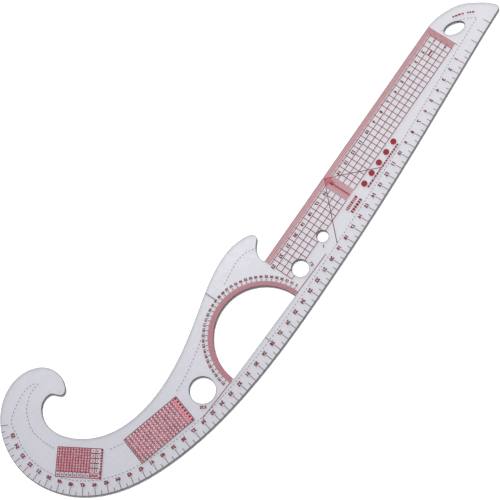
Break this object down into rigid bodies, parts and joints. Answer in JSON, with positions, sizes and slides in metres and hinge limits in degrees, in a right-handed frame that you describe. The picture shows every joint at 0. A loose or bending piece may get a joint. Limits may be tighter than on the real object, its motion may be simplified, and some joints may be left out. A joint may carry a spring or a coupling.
{
  "type": "french curve",
  "caption": "Flat clear french curve: straight metric edge, long bowed edge ending in a hooked curl, button holes, hang slot and a half-round protractor window, scales printed on one face.",
  "frame": {"origin": "middle of the bounding box, on the underside that rests on the table", "axes": "+X along the straight edge from its zero mark towards the curl, +Y from the straight edge into the sheet, +Z out of the printed face"},
  "size_m": [0.5122, 0.156, 0.0026],
  "materials": {
    "clear_sheet": "polished clear, faintly lavender",
    "ink": "screen printed, dark red"
  },
  "bodies": {
    "root": {"curve_plate": "clear_sheet", "straight_edge_scale": "ink", "zero_end_band": "ink", "seam_grid_zero_end": "ink", "seam_grid_fin_end": "ink", "centre_ray_zero_side": "ink", "centre_ray_fin_side": "ink", "centre_mark": "ink", "outer_edge_scale": "ink", "protractor_scale": "ink", "guide_line_upper": "ink", "guide_line_lower": "ink", "fin_balance_mark": "ink", "window_centre_mark": "ink", "large_table": "ink", "small_table": "ink"}
  },
  "joints": []
}
